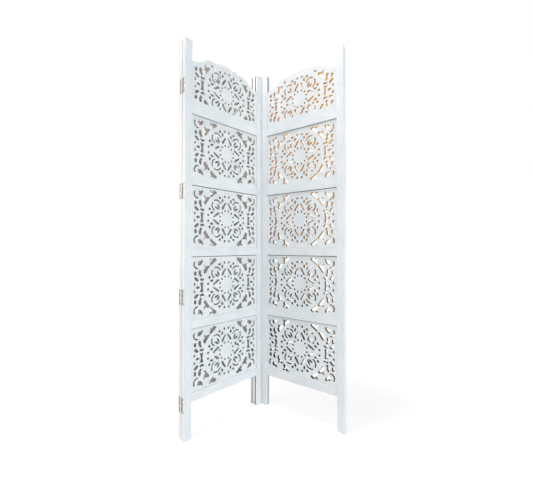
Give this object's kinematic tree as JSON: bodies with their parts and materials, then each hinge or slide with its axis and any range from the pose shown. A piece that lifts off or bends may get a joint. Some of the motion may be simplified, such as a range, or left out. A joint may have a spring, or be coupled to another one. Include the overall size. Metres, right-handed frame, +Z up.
{
  "type": "carved jali folding screen",
  "caption": "Free-standing folding room divider of hinged leaves; each frame holds pierced carved panels and an arched carved crest.",
  "frame": {"origin": "on the floor, under the middle of the screen's bounding box as it stands at rest", "axes": "+Z up; -Y is the side that the V of the two standing leaves opens to (the front); +X to the right seen from the front"},
  "size_m": [0.7824, 0.3568, 1.83],
  "materials": {
    "painted_frame": "white paint, satin, over solid mango wood",
    "painted_carving": "white paint, satin, over a pierced wood-fibre panel",
    "hinge_steel": "rolled steel brushed with the frame's white paint, worn beside the knuckles",
    "pin_steel": "drawn steel wire",
    "screw_steel": "zinc-plated steel"
  },
  "bodies": {
    "left_leaf": {"left_leaf_left_stile": "painted_frame", "left_leaf_right_stile": "painted_frame", "left_leaf_rail_1": "painted_frame", "left_leaf_rail_2": "painted_frame", "left_leaf_rail_3": "painted_frame", "left_leaf_rail_4": "painted_frame", "left_leaf_rail_5": "painted_frame", "left_leaf_panel_1": "painted_carving", "left_leaf_panel_2": "painted_carving", "left_leaf_panel_3": "painted_carving", "left_leaf_panel_4": "painted_carving", "left_leaf_crest": "painted_carving", "rear_hinge_1_left_plate": "hinge_steel", "rear_hinge_2_left_plate": "hinge_steel", "rear_hinge_3_left_plate": "hinge_steel", "rear_hinge_4_left_plate": "hinge_steel", "rear_hinge_left_screws": "screw_steel", "rear_hinge_pins": "pin_steel", "centre_hinge_1_left_plate": "hinge_steel", "centre_hinge_2_left_plate": "hinge_steel", "centre_hinge_3_left_plate": "hinge_steel", "centre_hinge_4_left_plate": "hinge_steel", "centre_hinge_left_screws": "screw_steel", "centre_hinge_pins": "pin_steel"},
    "right_leaf": {"right_leaf_left_stile": "painted_frame", "right_leaf_right_stile": "painted_frame", "right_leaf_rail_1": "painted_frame", "right_leaf_rail_2": "painted_frame", "right_leaf_rail_3": "painted_frame", "right_leaf_rail_4": "painted_frame", "right_leaf_rail_5": "painted_frame", "right_leaf_panel_1": "painted_carving", "right_leaf_panel_2": "painted_carving", "right_leaf_panel_3": "painted_carving", "right_leaf_panel_4": "painted_carving", "right_leaf_crest": "painted_carving", "centre_hinge_1_right_plate": "hinge_steel", "centre_hinge_2_right_plate": "hinge_steel", "centre_hinge_3_right_plate": "hinge_steel", "centre_hinge_4_right_plate": "hinge_steel", "centre_hinge_right_screws": "screw_steel"},
    "rear_leaf": {"rear_leaf_left_stile": "painted_frame", "rear_leaf_right_stile": "painted_frame", "rear_leaf_rail_1": "painted_frame", "rear_leaf_rail_2": "painted_frame", "rear_leaf_rail_3": "painted_frame", "rear_leaf_rail_4": "painted_frame", "rear_leaf_rail_5": "painted_frame", "rear_leaf_panel_1": "painted_carving", "rear_leaf_panel_2": "painted_carving", "rear_leaf_panel_3": "painted_carving", "rear_leaf_panel_4": "painted_carving", "rear_leaf_crest": "painted_carving", "rear_hinge_1_rear_plate": "hinge_steel", "rear_hinge_2_rear_plate": "hinge_steel", "rear_hinge_3_rear_plate": "hinge_steel", "rear_hinge_4_rear_plate": "hinge_steel", "rear_hinge_rear_screws": "screw_steel"}
  },
  "joints": [
    {"name": "rear_hinge", "type": "hinge", "parent": "left_leaf", "child": "rear_leaf", "pos_m": [-0.37532, -0.16001, 0.9], "axis": [0, 0, 1], "range_deg": [0, 180]},
    {"name": "centre_hinge", "type": "hinge", "parent": "left_leaf", "child": "right_leaf", "pos_m": [0.00848, 0.14056, 0.9], "axis": [0, 0, 1], "range_deg": [-97.8, 82.2]}
  ]
}
